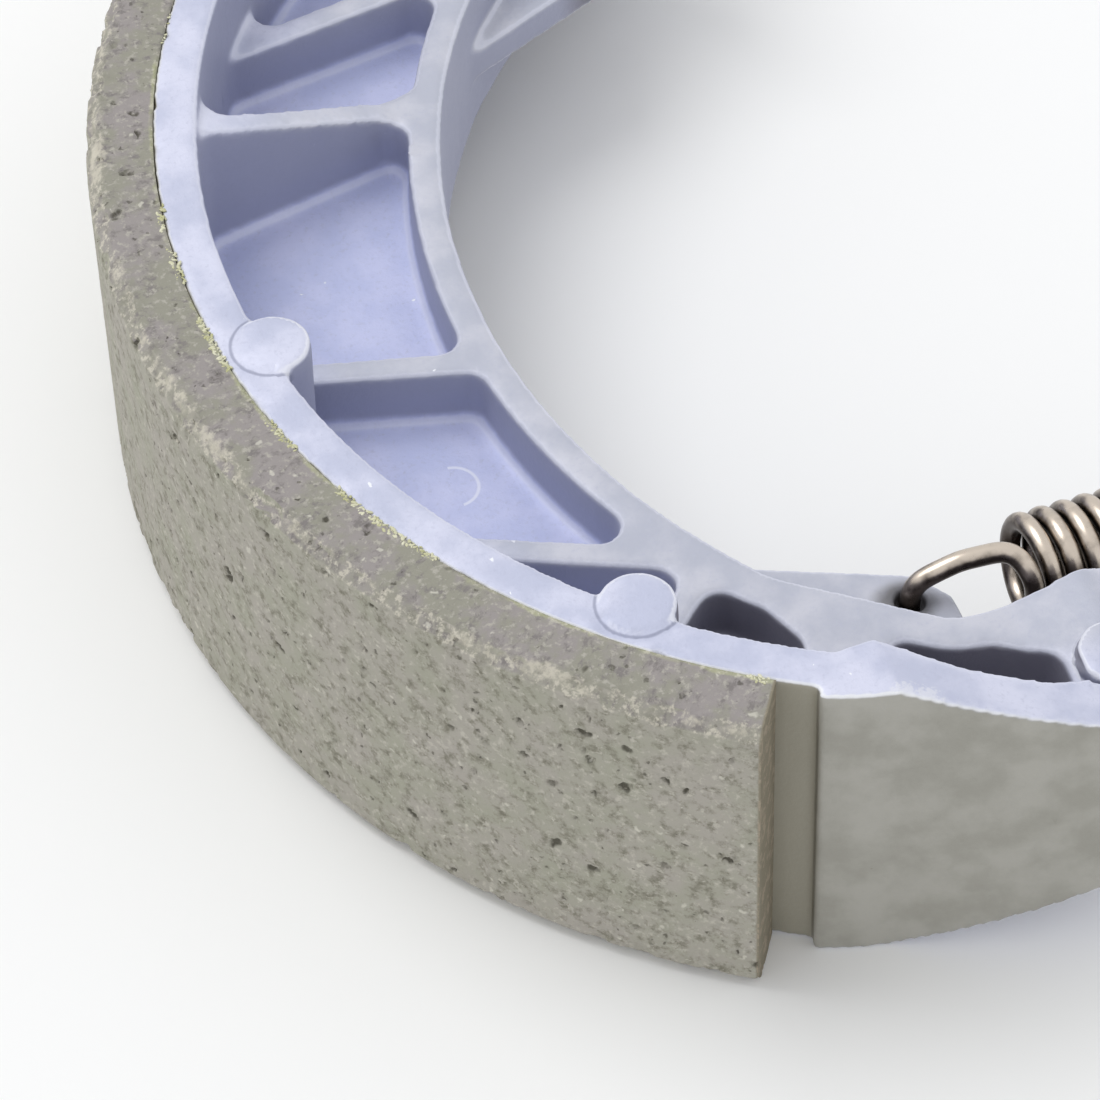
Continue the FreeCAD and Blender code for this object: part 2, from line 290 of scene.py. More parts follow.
# %% Light
bpy.context.scene.view_settings.view_transform = "Standard"
world = bpy.data.worlds.new("white_tent")
bpy.context.scene.world = world
world.use_nodes = True
world_tree = world.node_tree
world_light = world_tree.nodes["Background"]
world_light.inputs["Color"].default_value = (0.97, 0.98, 1.0, 1.0)
ray = add_node(world_tree, "ShaderNodeLightPath")
seen = calc(world_tree, "MAXIMUM", ray.outputs["Is Camera Ray"], ray.outputs["Is Glossy Ray"])
seen = calc(world_tree, "MAXIMUM", seen, ray.outputs["Is Transmission Ray"])
tent_strength = 0.82
strength = calc(world_tree, "MULTIPLY_ADD", seen, 1.0 - tent_strength, tent_strength)
world_tree.links.new(strength, world_light.inputs["Strength"])

lamp_data = bpy.data.lights.new("high_lamp", "AREA")
lamp_data.shape = "DISK"
lamp_data.size = 0.7
lamp_data.energy = 3.6
high_lamp = bpy.data.objects.new("high_lamp", lamp_data)
lamp_place, lamp_target = Vector((-0.35, 0.35, 0.9)), Vector((-0.03, 0, 0))
high_lamp.location = lamp_place
high_lamp.rotation_euler = (lamp_target - lamp_place).to_track_quat("-Z", "Y").to_euler()
bpy.context.scene.collection.objects.link(high_lamp)
print("world", tent_strength, "lamp", high_lamp.data.energy)

# %% [markdown]
# ## Casting
# The casting comes out of its die with every edge a little round and every face a little uneven.
# Bevels on each CAD edge would be crisp and brittle to make. A voxel remesh of the solid's copy,
# smoothed a few times, rounds all edges at once, as the die does. The mesh is then thinned for the export.

# %% Casting mesh
def closed_copy(node, name):
    mesh = nodes[node].data.copy()
    mesh.name = name
    mesh.materials.clear()
    build = bmesh.new()
    build.from_mesh(mesh)
    bmesh.ops.remove_doubles(build, verts=build.verts, dist=0.0001 * millimetre)
    build.to_mesh(mesh)
    build.free()
    piece = bpy.data.objects.new(name, mesh)
    bpy.context.scene.collection.objects.link(piece)
    return piece


def plain_mesh(piece, name):
    bpy.context.view_layer.update()
    seen_piece = piece.evaluated_get(bpy.context.evaluated_depsgraph_get())
    mesh = bpy.data.meshes.new_from_object(seen_piece)
    mesh.name = name
    bpy.data.objects.remove(piece)
    finished = bpy.data.objects.new(name, mesh)
    bpy.context.scene.collection.objects.link(finished)
    return finished


casting_blank = closed_copy("shoe_casting", "casting_blank")
remesh = casting_blank.modifiers.new("remesh", "REMESH")
remesh.mode = "VOXEL"
remesh.voxel_size = 0.34 * millimetre
remesh.use_smooth_shade = True
soften = casting_blank.modifiers.new("soften", "SMOOTH")
soften.factor = 0.5
soften.iterations = 9
thin_out = casting_blank.modifiers.new("thin_out", "DECIMATE")
thin_out.ratio = 0.43
casting = plain_mesh(casting_blank, "cast_body")
print("casting triangles", sum(len(face.vertices) - 2 for face in casting.data.polygons))

# %% [markdown]
# The faces of a die casting are never quite flat, and the rim's outer edge has small chips from handling.
# Both are moved vertices: gentle noise along the normals, and bites where a coarse noise is high.
# Bump in the material would be quicker, but the mesh would stay flat.

# %% Casting unevenness
chip_reach, chip_depth, chip_least = 1.1, 0.7, 0.16
chip_shift = Vector((7.3, 2.1, 0.4))
lining_end_slope = 1.6
body_mesh = casting.data
points = np.empty(3 * len(body_mesh.vertices))
normals = np.empty(3 * len(body_mesh.vertices))
body_mesh.vertices.foreach_get("co", points)
body_mesh.vertices.foreach_get("normal", normals)
points = points.reshape(-1, 3) / millimetre
normals = normals.reshape(-1, 3)
lifts = np.empty(len(points))
for index, point in enumerate(points):
    place = Vector(point)
    wave = noise.noise(place * 0.12) * 0.07 + noise.noise(place * 0.9) * 0.022
    off_seat = abs(math.hypot(place.x, place.y) - seat_radius)
    off_top = abs(place.z - shoe_width)
    near_edge = max(0.0, 1.0 - off_seat / chip_reach) * max(0.0, 1.0 - off_top / chip_reach)
    near_edge *= abs(place.y) < -lining_end_slope * place.x
    chip = max(0.0, noise.noise(place * 0.65 + chip_shift) - chip_least) * near_edge
    lifts[index] = wave - chip_depth * chip
print("vertices lifted by", round(lifts.min(), 2), "to", round(lifts.max(), 2), "mm")

# %% [markdown]
# The die's round ejectors leave three discs, each a little proud with a fine groove round it.
# The last pocket at the cam end runs out in a rounder corner than the others, so its walls move in there.

# %% Ejector discs and the last corner
ejector_radius = 2.9
disc_height, disc_slope = 0.2, 0.3
groove_depth, groove_reach = 0.16, 0.4
boss_ring, boss_least_z = 56.0, 28.8
ejector_places = []
for turns_round in (8.1, 46.7):
    boss_angle = math.radians(turns_round)
    boss_x, boss_y = -boss_ring * math.cos(boss_angle), -boss_ring * math.sin(boss_angle)
    ejector_places.append((boss_x, boss_y, boss_least_z))
ejector_places.append((-5.9, -51.9, 22.6))
for disc_x, disc_y, least_z in ejector_places:
    off_centre = np.hypot(points[:, 0] - disc_x, points[:, 1] - disc_y)
    on_top = (points[:, 2] > least_z) & (normals[:, 2] > 0.6)
    proud = disc_height * np.clip((ejector_radius - off_centre) / disc_slope, 0, 1)
    off_groove = np.abs(off_centre - ejector_radius - disc_slope)
    groove = groove_depth * np.clip(1 - off_groove / groove_reach, 0, 1)
    lifts += np.where(on_top, proud - groove, 0)
corner_x, corner_y, corner_reach, corner_round = -9.5, -55.3, 3.4, 0.85
off_corner = np.hypot(points[:, 0] - corner_x, points[:, 1] - corner_y)
off_web = np.clip((np.abs(points[:, 2] - middle_height) - 1.8) / 1.0, 0, 1)
upright = 1 - normals[:, 2] ** 2
lifts += corner_round * np.clip(1 - off_corner / corner_reach, 0, 1) * upright * off_web
points += normals * lifts[:, None]
body_mesh.vertices.foreach_set("co", (points * millimetre).ravel())
body_mesh.update()
print("casting size in mm", [round(value / millimetre, 1) for value in casting.dimensions])

# %% [markdown]
# The inside of the casting is a bluish, almost lavender grey: the rim palest, the web a little darker,
# and the pocket floors bluest. Separate materials for these would leave hard seams,
# so one material blends them by radius, by height and by distance from the flange.

# %% Casting tones
cast_metal, tree, shader = new_finish("cast_metal")
at = shoe_places(tree)
clouds = mottle(tree, at["mm"], 0.22, 4.0)
grain = mottle(tree, at["mm"], 2.4, 3.0, 0.7)
cloudy = ramp_up(tree, clouds, 0.35, 0.68)
from_middle = off_by(tree, at["z"], middle_height)
rim_tone = two_tones(tree, cloudy, (188, 192, 213), (210, 212, 230))
web_tone = two_tones(tree, cloudy, (181, 184, 197), (199, 200, 210))
floor_tone = two_tones(tree, cloudy, (190, 196, 229), (202, 206, 236))
inner = blend_colour(tree, ramp_up(tree, at["radius"], 49.0, 54.0), web_tone, rim_tone)
beyond_flange = ramp_up(tree, distance_from(tree, at, 16.9, -1.9), 54.5, 55.5)
in_pocket = both(tree, fade_out(tree, from_middle, 3.5, 6.0), beyond_flange)
inner = blend_colour(tree, in_pocket, inner, floor_tone)
inner = paint(tree, inner, ramp_up(tree, grain, 0.5, 0.8), (178, 181, 200), 0.45)
inner = paint(tree, inner, specks(tree, at["mm"], 0.5, 0.14, 0.14), (236, 238, 244))
print("casting tones take", len(tree.nodes), "nodes")

# %% [markdown]
# The steep walls of the pockets get a painted slate shade, and the pockets near both ends get a darker
# painted shade.
# At the anchor end they lie 15 degrees further on. Rounded edges get a paler painted highlight.

# %% Casting walls and ends
anchor_shift = -15.0
facing = calc(tree, "ABSOLUTE", at["facing_up"])
anchor_side = calc(tree, "GREATER_THAN", at["y"], 0.0)
towards_end = calc(tree, "MULTIPLY_ADD", anchor_side, anchor_shift, at["degrees"])
shade_near_ends = ramp_up(tree, towards_end, 44.0, 50.0)
# painted shade on the pocket floors near both ends
inner = paint(tree, inner, both(tree, in_pocket, shade_near_ends), (150, 150, 164))
# painted slate shade on the steep walls, darker near the ends
wall_shade = two_tones(tree, shade_near_ends, (158, 161, 182), (118, 116, 128))
inner = blend_colour(tree, both(tree, fade_out(tree, facing, 0.1, 0.6), 0.9), inner, wall_shade)
# painted highlight on rounded edges
on_round = both(tree, ramp_up(tree, facing, 0.4, 0.6), fade_out(tree, facing, 0.85, 0.97))
inner = paint(tree, inner, on_round, (226, 228, 242), 0.45)
print("with walls and ends", len(tree.nodes), "nodes")

# %% [markdown]
# Small marks follow: a fine painted shade in the groove round each ejector disc with a painted highlight on
# its edge, a curved scratch in a pocket, scuffs on the cam end's rim, a darker patch round the spring's hook
# in its hole, and a painted highlight along the rim's rounded edge at the lining's joint.
# A painted picture could hold them too, but each is simply a distance from one place.

# %% Casting marks
for disc_x, disc_y, least_z in ejector_places:
    # painted shade in the fine groove round the disc
    off_ring = calc(tree, "SUBTRACT", distance_from(tree, at, disc_x, disc_y), ejector_radius + 0.2)
    groove_shade = fade_out(tree, calc(tree, "ABSOLUTE", off_ring), 0.03, 0.2)
    groove_shade = both(tree, groove_shade, calc(tree, "GREATER_THAN", at["z"], least_z))
    inner = paint(tree, inner, groove_shade, (118, 122, 146), 0.6)
    # painted highlight on the disc's rounded edge, kept off the rim's outer edge
    disc_highlight = both(tree, on_round, fade_out(tree, off_ring, 0.0, 0.2))
    disc_highlight = both(tree, disc_highlight, fade_out(tree, at["radius"], 57.6, 58.2))
    inner = paint(tree, inner, disc_highlight, (246, 247, 252), 0.45)
upper_side = calc(tree, "GREATER_THAN", at["z"], middle_height)
off_scratch = off_by(tree, distance_from(tree, at, -44.1, -14.9), 1.95)
scratch = both(tree, fade_out(tree, off_scratch, 0.05, 0.2), calc(tree, "GREATER_THAN", at["x"], -43.9))
scratch = both(tree, both(tree, scratch, upper_side), in_pocket)
inner = paint(tree, inner, scratch, (232, 234, 246), 0.7)
scuff_places = [distance_from(tree, at, x, y) for x, y in ((-23.5, -54.7), (-21.9, -55.3))]
scuffed = calc(tree, "MULTIPLY_ADD", grain, -3.0, calc(tree, "MINIMUM", *scuff_places))
scuffed = both(tree, fade_out(tree, scuffed, -1.0, -0.3), upper_side)
inner = paint(tree, inner, scuffed, (238, 238, 240), 0.4)
# a darker patch round the hook's hole
dark_by_hole = calc(tree, "MULTIPLY_ADD", clouds, -2.2, distance_from(tree, at, -16.2, -37.3))
dark_by_hole = both(tree, fade_out(tree, dark_by_hole, 0.2, 1.8), fade_out(tree, from_middle, 1.8, 3.0))
inner = paint(tree, inner, dark_by_hole, (84, 81, 78), 0.75)
# painted highlight along the rim's rounded outer edge at the joint
joint_edge_highlight = both(tree, ramp_up(tree, at["radius"], 59.45, 59.7), on_round)
inner = paint(tree, inner, joint_edge_highlight, (238, 239, 240), 0.8)
print("with marks", len(tree.nodes), "nodes")

# %% [markdown]
# The outside that the lining leaves free is a warmer olive grey, with a painted shade in the recess between
# the lining's end and the lip, and a thin painted shade line at the lip's foot.

# %% Casting outside
lip_foot_degrees = 60.95
outer = two_tones(tree, ramp_up(tree, clouds, 0.35, 0.65), (156, 154, 145), (171, 169, 161))
outer = paint(tree, outer, specks(tree, at["mm"], 0.6, 0.15, 0.12), (120, 116, 104), 0.5)
# painted shade in the recess before the lip
outer = paint(tree, outer, fade_out(tree, at["degrees"], 60.7, 61.1), (158, 154, 140))
# painted shade line at the lip's foot
lip_foot_shade = fade_out(tree, off_by(tree, at["degrees"], lip_foot_degrees), 0.04, 0.18)
outer = paint(tree, outer, lip_foot_shade, (84, 80, 70), 0.5)
outside = both(tree, ramp_up(tree, at["radius"], 58.9, 59.4), fade_out(tree, facing, 0.35, 0.75))
tree.links.new(blend_colour(tree, outside, inner, outer), shader.inputs["Base Color"])
shader.inputs["Metallic"].default_value = 0.15
tree.links.new(calc(tree, "MULTIPLY_ADD", grain, 0.25, 0.42), shader.inputs["Roughness"])
bump(tree, shader, calc(tree, "MULTIPLY_ADD", clouds, 0.5, grain), 0.35, 0.12 * millimetre)
casting.data.materials.append(cast_metal)
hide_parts("shoe_casting")
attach(casting, "root")
print("finish", cast_metal.name, "nodes", len(tree.nodes))

# %% [markdown]
# ## Friction lining
# The lining is a moulded strip of one section bent round the rim, so its shape follows a rule.
# Geometry Nodes suit that: a section is swept along a straight line, and each point then moves onto the arc.
# Real roughness matters here, because the strip is porous: noise lifts it, and cells sink pits in it.

# %% Helpers for Geometry Nodes
def shape_tree(name, sizes):
    tree = bpy.data.node_groups.new(name, "GeometryNodeTree")
    tree.interface.new_socket("Geometry", in_out="OUTPUT", socket_type="NodeSocketGeometry")
    tree.interface.new_socket("Geometry", in_out="INPUT", socket_type="NodeSocketGeometry")
    for label, value in sizes.items():
        kind = "NodeSocketInt" if isinstance(value, int) else "NodeSocketFloat"
        tree.interface.new_socket(label, in_out="INPUT", socket_type=kind)
    tree.interface.new_socket("Finish", in_out="INPUT", socket_type="NodeSocketMaterial")
    entry = add_node(tree, "NodeGroupInput")
    return tree, entry.outputs


def finish_tree(tree, shape, finish):
    smooth = add_node(tree, "GeometryNodeSetShadeSmooth")
    tree.links.new(shape, smooth.inputs["Geometry"])
    real = add_node(tree, "GeometryNodeRealizeInstances")
    tree.links.new(smooth.outputs[0], real.inputs[0])
    painted = add_node(tree, "GeometryNodeSetMaterial")
    tree.links.new(real.outputs[0], painted.inputs["Geometry"])
    tree.links.new(finish, painted.inputs["Material"])
    tree.links.new(painted.outputs[0], add_node(tree, "NodeGroupOutput").inputs[0])


def grown_piece(name, tree, sizes, finish, start=None):
    seed_data = start or bpy.data.meshes.new(name + "_start")
    worker = bpy.data.objects.new(name + "_worker", seed_data)
    bpy.context.scene.collection.objects.link(worker)
    grow = worker.modifiers.new("grow", "NODES")
    grow.node_group = tree
    values = dict(sizes, Finish=finish)
    for item in tree.interface.items_tree:
        if item.in_out == "INPUT" and item.name in values:
            grow[item.identifier] = values[item.name]
    return plain_mesh(worker, name)


def vector_of(tree, x, y, z):
    node = add_node(tree, "ShaderNodeCombineXYZ")
    for socket, value in zip(node.inputs, (x, y, z)):
        feed(tree, socket, value)
    return node.outputs[0]


def stretch_line(tree, axis, count):
    line = add_node(tree, "GeometryNodeCurvePrimitiveLine")
    line.inputs["Start"].default_value = [-value for value in axis]
    line.inputs["End"].default_value = axis
    even = add_node(tree, "GeometryNodeResampleCurve")
    tree.links.new(line.outputs[0], even.inputs["Curve"])
    tree.links.new(count, even.inputs["Count"])
    return even.outputs[0]


def move_points(tree, shape, position=None, offset=None):
    node = add_node(tree, "GeometryNodeSetPosition")
    tree.links.new(shape, node.inputs["Geometry"])
    if position is not None:
        tree.links.new(position, node.inputs["Position"])
    if offset is not None:
        tree.links.new(offset, node.inputs["Offset"])
    return node.outputs[0]


def where(tree):
    split = add_node(tree, "ShaderNodeSeparateXYZ")
    tree.links.new(add_node(tree, "GeometryNodeInputPosition").outputs[0], split.inputs[0])
    return split.outputs


def place_on_arc(tree, radius, angle, height):
    arc_x = negative(tree, both(tree, radius, calc(tree, "COSINE", angle)))
    arc_y = negative(tree, both(tree, radius, calc(tree, "SINE", angle)))
    return vector_of(tree, arc_x, arc_y, height)


def to_metres(tree, shape):
    node = add_node(tree, "GeometryNodeTransform")
    tree.links.new(shape, node.inputs["Geometry"])
    node.inputs["Scale"].default_value = (millimetre,) * 3
    return node.outputs[0]


print("helpers ready for", len(nodes), "nodes")


# %% [markdown]
# The section runs from the seat's lower corner down, out, up and back to the seat's upper corner.
# One number along that run gives height and depth by two clamps, and a push at 45 degrees cuts the chamfers.

# %% Lining section
lining_sizes = {
    "Outer Radius": drum_radius, "Thickness": lining_thickness, "Width": shoe_width,
    "Half Angle": math.radians(58.0), "Chamfer": 1.1, "Rings": 560, "Section Points": 160,
    "Grain": 0.05, "Pit Depth": 0.32, "Chip Depth": 0.55,
}
lining_tree, size = shape_tree("friction_strip", lining_sizes)
t = lining_tree
half_width = calc(t, "MULTIPLY", size["Width"], 0.5)
run = calc(t, "ADD", half_width, size["Thickness"])
section_line = stretch_line(t, (1, 0, 0), size["Section Points"])
along = calc(t, "MULTIPLY", where(t)[0], run)
height = calc(t, "MINIMUM", calc(t, "MAXIMUM", along, negative(t, half_width)), half_width)
depth = calc(t, "MAXIMUM", calc(t, "SUBTRACT", calc(t, "ABSOLUTE", along), half_width), 0.0)
chamfer_start = calc(t, "SUBTRACT", half_width, size["Chamfer"])
beyond = calc(t, "SUBTRACT", calc(t, "ABSOLUTE", height), chamfer_start)
push = calc(t, "MULTIPLY", calc(t, "MAXIMUM", calc(t, "SUBTRACT", beyond, depth), 0.0), 0.5)
lowered = calc(t, "SUBTRACT", height, calc(t, "MULTIPLY", calc(t, "SIGN", height), push))
section_radius = calc(t, "SUBTRACT", calc(t, "SUBTRACT", size["Outer Radius"], depth), push)
section = move_points(t, section_line, position=vector_of(t, section_radius, lowered, 0.0))
closed = add_node(t, "GeometryNodeSetSplineCyclic")
t.links.new(section, closed.inputs["Geometry"])
closed.inputs["Cyclic"].default_value = True
print("section nodes", len(t.nodes))

# %% [markdown]
# The sweep runs from -1 to 1 along Z. That number times the half angle bends the bar onto the rim,
# and because the bend mirrors it, its faces are flipped back outwards.

# %% Lining sweep and bend
sweep = add_node(t, "GeometryNodeCurveToMesh")
t.links.new(stretch_line(t, (0, 0, 1), size["Rings"]), sweep.inputs["Curve"])
t.links.new(closed.outputs[0], sweep.inputs["Profile Curve"])
sweep.inputs["Fill Caps"].default_value = True
bar_x, bar_y, bar_z = where(t)
angle = calc(t, "MULTIPLY", bar_z, size["Half Angle"])
ring_z = calc(t, "ADD", bar_y, half_width)
bent_strip = move_points(t, sweep.outputs[0], position=place_on_arc(t, bar_x, angle, ring_z))
outside_out = add_node(t, "GeometryNodeFlipFaces")
t.links.new(bent_strip, outside_out.inputs[0])
strip = outside_out.outputs[0]
print("sweep nodes", len(t.nodes))

# %% [markdown]
# Pits, grain and chips move the points along the surface's normal. The seat's corners stay in place.

# %% Lining roughness
def pore_cells(tree, vector, fine_share):
    coarse_pores = specks(tree, vector, 0.5, 0.5, 0.27)
    fine_pores = specks(tree, vector, 1.15, 0.3, 0.3)
    return calc(tree, "MAXIMUM", coarse_pores, both(tree, fine_pores, fine_share))


place = add_node(t, "GeometryNodeInputPosition").outputs[0]
px, py, pz = where(t)
radius = hypotenuse(t, px, py)
off_seat = calc(t, "SUBTRACT", radius, calc(t, "SUBTRACT", size["Outer Radius"], size["Thickness"]))
free = ramp_up(t, off_seat, 0.1, 0.6)
rough = calc(t, "SUBTRACT", mottle(t, place, 1.1, 3.0, 0.6), 0.5)
rough = calc(t, "MULTIPLY", calc(t, "MULTIPLY", rough, 2.0), size["Grain"])
pits = calc(t, "MULTIPLY", pore_cells(t, place, 0.5), size["Pit Depth"])
edge_height = calc(t, "SUBTRACT", half_width, off_by(t, pz, half_width))
edge_depth = calc(t, "SUBTRACT", size["Outer Radius"], radius)
off_edge = calc(t, "MULTIPLY", calc(t, "ADD", edge_height, edge_depth), 0.33)
near_edge = calc(t, "SUBTRACT", 1.0, off_edge, clamp=True)
torn_off = ramp_up(t, mottle(t, place, 0.42, 3.0, 0.6), 0.5, 0.68)
chips = calc(t, "MULTIPLY", torn_off, size["Chip Depth"])
sunk = calc(t, "ADD", pits, calc(t, "MULTIPLY", chips, near_edge))
lift = calc(t, "MULTIPLY", calc(t, "SUBTRACT", rough, sunk), free)
outward = add_node(t, "ShaderNodeVectorMath", operation="SCALE")
t.links.new(add_node(t, "GeometryNodeInputNormal").outputs[0], outward.inputs[0])
t.links.new(lift, outward.inputs["Scale"])
rough_strip = move_points(t, strip, offset=outward.outputs[0])
finish_tree(t, to_metres(t, rough_strip), size["Finish"])
print("lining nodes", len(t.nodes))

# %% [markdown]
# The compound is a mixture: patches of green-grey and of pinkish grey run into each other.
# The edge faces are browner and look torn, with short streaks along the arc.

# %% Lining tones
friction, tree, shader = new_finish("friction_compound")
at = shoe_places(tree)
clouds = mottle(tree, at["mm"], 0.22, 5.0, 0.62)
grain = mottle(tree, at["mm"], 1.6, 4.0, 0.7)
fine = mottle(tree, at["mm"], 0.9, 5.0, 0.7)
face = two_tones(tree, ramp_up(tree, clouds, 0.32, 0.68), (165, 164, 149), (172, 167, 158))
face = paint(tree, face, ramp_up(tree, fine, 0.46, 0.72), (124, 121, 107))
face = paint(tree, face, ramp_up(tree, grain, 0.52, 0.68), (194, 190, 178), 0.75)
streaks = add_node(tree, "ShaderNodeMapping")
streaks.inputs["Scale"].default_value = (1.0, 0.7, 0.7)
tree.links.new(at["around"], streaks.inputs["Vector"])
torn = mottle(tree, streaks.outputs[0], 1.0, 4.0, 0.7)
edge_face = two_tones(tree, ramp_up(tree, clouds, 0.4, 0.56), (154, 148, 146), (150, 148, 136))
edge_face = paint(tree, edge_face, ramp_up(tree, torn, 0.5, 0.66), (130, 125, 123))
edge_face = paint(tree, edge_face, ramp_up(tree, grain, 0.52, 0.66), (180, 176, 166), 0.8)
tilt = calc(tree, "ABSOLUTE", at["facing_up"])
level_side = ramp_up(tree, tilt, 0.5, 0.8)
colour = blend_colour(tree, level_side, face, edge_face)
print("lining tones take", len(tree.nodes), "nodes")

# %% [markdown]
# Dark pores and pale flecks of fibre and metal lie in the compound, and its outer corner is rubbed to cream.
# The pores use the same cells as the pits in the mesh, so the colour sits in the holes.

# %% Lining pores and worn corner
dark = pore_cells(tree, at["mm"], 0.7)
colour = paint(tree, colour, dark, (78, 75, 64), 0.85)
colour = paint(tree, colour, specks(tree, at["mm"], 0.8, 0.25, 0.25), (214, 211, 198), 0.6)
from_top = calc(tree, "SUBTRACT", shoe_width, at["z"])
from_face = calc(tree, "SUBTRACT", drum_radius, at["radius"])
off_corner = calc(tree, "MULTIPLY_ADD", from_top, 0.8, off_by(tree, from_face, 0.5))
patches = calc(tree, "MULTIPLY", mottle(tree, at["mm"], 0.1, 1.0), 2.4)
worn = calc(tree, "SUBTRACT", calc(tree, "MULTIPLY_ADD", fine, 3.4, patches), 2.3)
wear_and_top_light = ramp_up(tree, calc(tree, "SUBTRACT", worn, off_corner), 0.0, 0.8)
cut_corner = both(tree, ramp_up(tree, tilt, 0.3, 0.5), fade_out(tree, tilt, 0.8, 0.9))
cream = both(tree, cut_corner, both(tree, ramp_up(tree, grain, 0.48, 0.62), 0.6))
wear_and_top_light = calc(tree, "MAXIMUM", both(tree, wear_and_top_light, 0.75), cream)
colour = paint(tree, colour, wear_and_top_light, (208, 202, 186))
print("with pores and corner", len(tree.nodes), "nodes")

# %% [markdown]
# A yellow-green film of adhesive stands in patches along the joint, and the end faces are dark.

# %% Lining joint and ends
off_joint = calc(tree, "SUBTRACT", at["radius"], seat_radius)
film = calc(tree, "MULTIPLY", mottle(tree, at["mm"], 0.5, 4.0, 0.7), 1.4)
film = both(tree, ramp_up(tree, calc(tree, "SUBTRACT", film, off_joint), 0.3, 0.6), level_side)
film = both(tree, film, ramp_up(tree, mottle(tree, at["mm"], 0.14), 0.4, 0.58))
film_tone = two_tones(tree, ramp_up(tree, grain, 0.45, 0.62), (176, 178, 140), (212, 210, 186))
colour = blend_colour(tree, both(tree, film, 0.65), colour, film_tone)
end_tone = two_tones(tree, ramp_up(tree, fine, 0.5, 0.6), (136, 129, 112), (160, 148, 130))
colour = blend_colour(tree, ramp_up(tree, at["degrees"], 57.75, 57.95), colour, end_tone)
tree.links.new(colour, shader.inputs["Base Color"])
shader.inputs["Roughness"].default_value = 0.85
shader.inputs["Specular IOR Level"].default_value = 0.25
relief = calc(tree, "SUBTRACT", calc(tree, "MULTIPLY_ADD", clouds, 0.6, grain), dark)
bump(tree, shader, relief, 0.6, 0.22 * millimetre)
lining = grown_piece("lining_strip", lining_tree, lining_sizes, friction)
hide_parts("friction_lining")
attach(lining, "root")
print("lining size in mm", [round(value / millimetre, 1) for value in lining.dimensions])

# %% [markdown]
# ## Adhesive
# The adhesive that was squeezed out of the joint stands along it as yellow-green crumbs.
# Hand-placed crumbs would look planned. Here nodes drop small balls on an arc, where a noise is high.

# %% Adhesive crumbs
crumb_top, crumb_low = 29.97, 0.1
crumb_sizes = {
    "Radius": 59.9, "Half Angle": math.radians(57.5), "Height": crumb_top, "Points": 1700,
    "Crumb": 0.17, "Spread": 0.3, "Seed": 11,
}
crumb_tree, size = shape_tree("adhesive_crumbs", crumb_sizes)
t = crumb_tree


def scatter(tree, low, high, seed, kind="FLOAT"):
    node = add_node(tree, "FunctionNodeRandomValue", data_type=kind)
    first = 0 if kind == "FLOAT_VECTOR" else 2
    feed(tree, node.inputs[first], low)
    feed(tree, node.inputs[first + 1], high)
    feed(tree, node.inputs["Seed"], seed)
    return node.outputs[0 if kind == "FLOAT_VECTOR" else 1]


line = stretch_line(t, (1, 0, 0), size["Points"])
points = add_node(t, "GeometryNodeCurveToPoints", mode="EVALUATED")
t.links.new(line, points.inputs["Curve"])
angle = calc(t, "MULTIPLY", where(t)[0], size["Half Angle"])
side = scatter(t, -1.0, 1.0, size["Seed"])
out = calc(t, "MULTIPLY_ADD", side, size["Spread"], size["Radius"])
on_arc = move_points(t, points.outputs[0], position=place_on_arc(t, out, angle, size["Height"]))
bare_parts = add_node(t, "GeometryNodeDeleteGeometry", domain="POINT")
t.links.new(on_arc, bare_parts.inputs["Geometry"])
patch = mottle(t, add_node(t, "GeometryNodeInputPosition").outputs[0], 0.16, 2.0, 0.5)
t.links.new(calc(t, "LESS_THAN", patch, 0.53), bare_parts.inputs["Selection"])
print("crumb places take", len(t.nodes), "nodes")

# %% [markdown]
# Each crumb is a small ball, flattened, longer than wide and turned by chance.

# %% Adhesive balls
ball = add_node(t, "GeometryNodeMeshIcoSphere")
ball.inputs["Radius"].default_value = 1.0
ball.inputs["Subdivisions"].default_value = 2
place_balls = add_node(t, "GeometryNodeInstanceOnPoints")
t.links.new(bare_parts.outputs[0], place_balls.inputs["Points"])
t.links.new(ball.outputs["Mesh"], place_balls.inputs["Instance"])
girth = calc(t, "MULTIPLY", scatter(t, 0.35, 1.0, calc(t, "ADD", size["Seed"], 3)), size["Crumb"])
girth = calc(t, "MULTIPLY", girth, scatter(t, 0.4, 1.0, calc(t, "ADD", size["Seed"], 5)))
flat_ball = vector_of(t, calc(t, "MULTIPLY", girth, 1.9), girth, calc(t, "MULTIPLY", girth, 0.6))
t.links.new(flat_ball, place_balls.inputs["Scale"])
spin = scatter(t, (0, 0, 0), (0.4, 0.4, 6.2), calc(t, "ADD", size["Seed"], 7), "FLOAT_VECTOR")
t.links.new(spin, place_balls.inputs["Rotation"])
real_balls = add_node(t, "GeometryNodeRealizeInstances")
t.links.new(place_balls.outputs[0], real_balls.inputs[0])
finish_tree(t, to_metres(t, real_balls.outputs[0]), size["Finish"])
adhesive, tree, shader = new_finish("adhesive")
at = shoe_places(tree)
tone = ramp_up(tree, mottle(tree, at["mm"], 0.6), 0.35, 0.65)
tree.links.new(two_tones(tree, tone, (182, 181, 132), (218, 216, 190)), shader.inputs["Base Color"])
shader.inputs["Roughness"].default_value = 0.4
for name, level, seed in (("adhesive_top", crumb_top, 11), ("adhesive_low", crumb_low, 29)):
    sizes = dict(crumb_sizes, Height=level, Seed=seed)
    crumbs = grown_piece(name, crumb_tree, sizes, adhesive)
    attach(crumbs, "root")
    print(crumbs.name, "faces", len(crumbs.data.polygons))

# %% [markdown]
# ## Return spring
# The spring is one wire: a hook through the lug, seven and a half turns, and a hook for the opposite shoe.
# The hook's few corners come first, measured from the lug's hole and from where the wire enters the coil.

